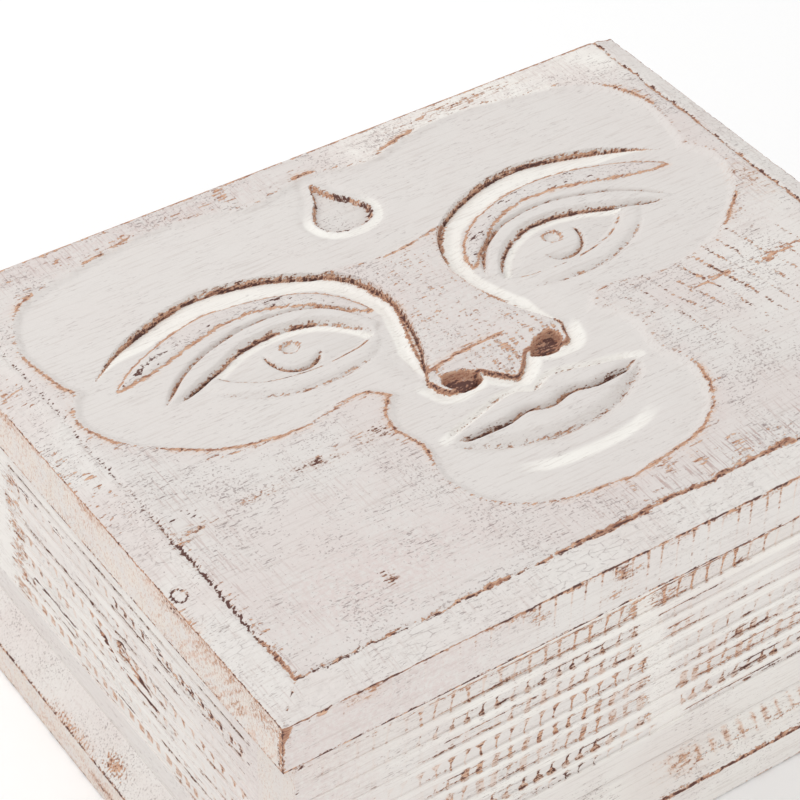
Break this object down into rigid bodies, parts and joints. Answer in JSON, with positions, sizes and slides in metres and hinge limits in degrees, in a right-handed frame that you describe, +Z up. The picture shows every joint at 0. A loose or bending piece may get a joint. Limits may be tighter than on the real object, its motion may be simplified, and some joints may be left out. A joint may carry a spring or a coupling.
{
  "type": "hinged keepsake and dice box",
  "caption": "Book-shaped wooden box with a hinged lid carved with a calm face, page-like grooves round its walls and one open compartment inside.",
  "frame": {"origin": "middle of the covers' outline, on the underside that the box rests on", "axes": "+X to the right along the front edge, +Y from the front edge to the hinged back, +Z up"},
  "size_m": [0.24, 0.1913, 0.1155],
  "materials": {
    "carved_lid": "brushed whitewash worn through to brown wood along the cuts and arrises",
    "page_walls": "whitewash over sawn page grooves, brown wood showing in them; bare wood inside",
    "whitewashed_boards": "whitewash worn along the arrises, creamy open end grain",
    "hinge_brass": "aged brass plate",
    "hinge_pin_steel": "plain steel wire",
    "screw_steel": "brass-plated slotted heads"
  },
  "bodies": {
    "box": {"base_front_board": "whitewashed_boards", "base_back_board": "whitewashed_boards", "front_wall": "page_walls", "left_wall": "page_walls", "right_wall": "page_walls", "back_wall": "page_walls", "left_hinge_wall_leaf": "hinge_brass", "right_hinge_wall_leaf": "hinge_brass", "left_hinge_pin": "hinge_pin_steel", "right_hinge_pin": "hinge_pin_steel", "left_hinge_wall_screws": "screw_steel", "right_hinge_wall_screws": "screw_steel"},
    "lid": {"lid_front_board": "carved_lid", "lid_back_board": "carved_lid", "left_hinge_lid_leaf": "hinge_brass", "right_hinge_lid_leaf": "hinge_brass", "left_hinge_lid_screws": "screw_steel", "right_hinge_lid_screws": "screw_steel"}
  },
  "joints": [
    {"name": "lid_hinge", "type": "hinge", "parent": "box", "child": "lid", "pos_m": [0, 0.0958, 0.0985], "axis": [-1, 0, 0], "range_deg": [0, 180]}
  ]
}
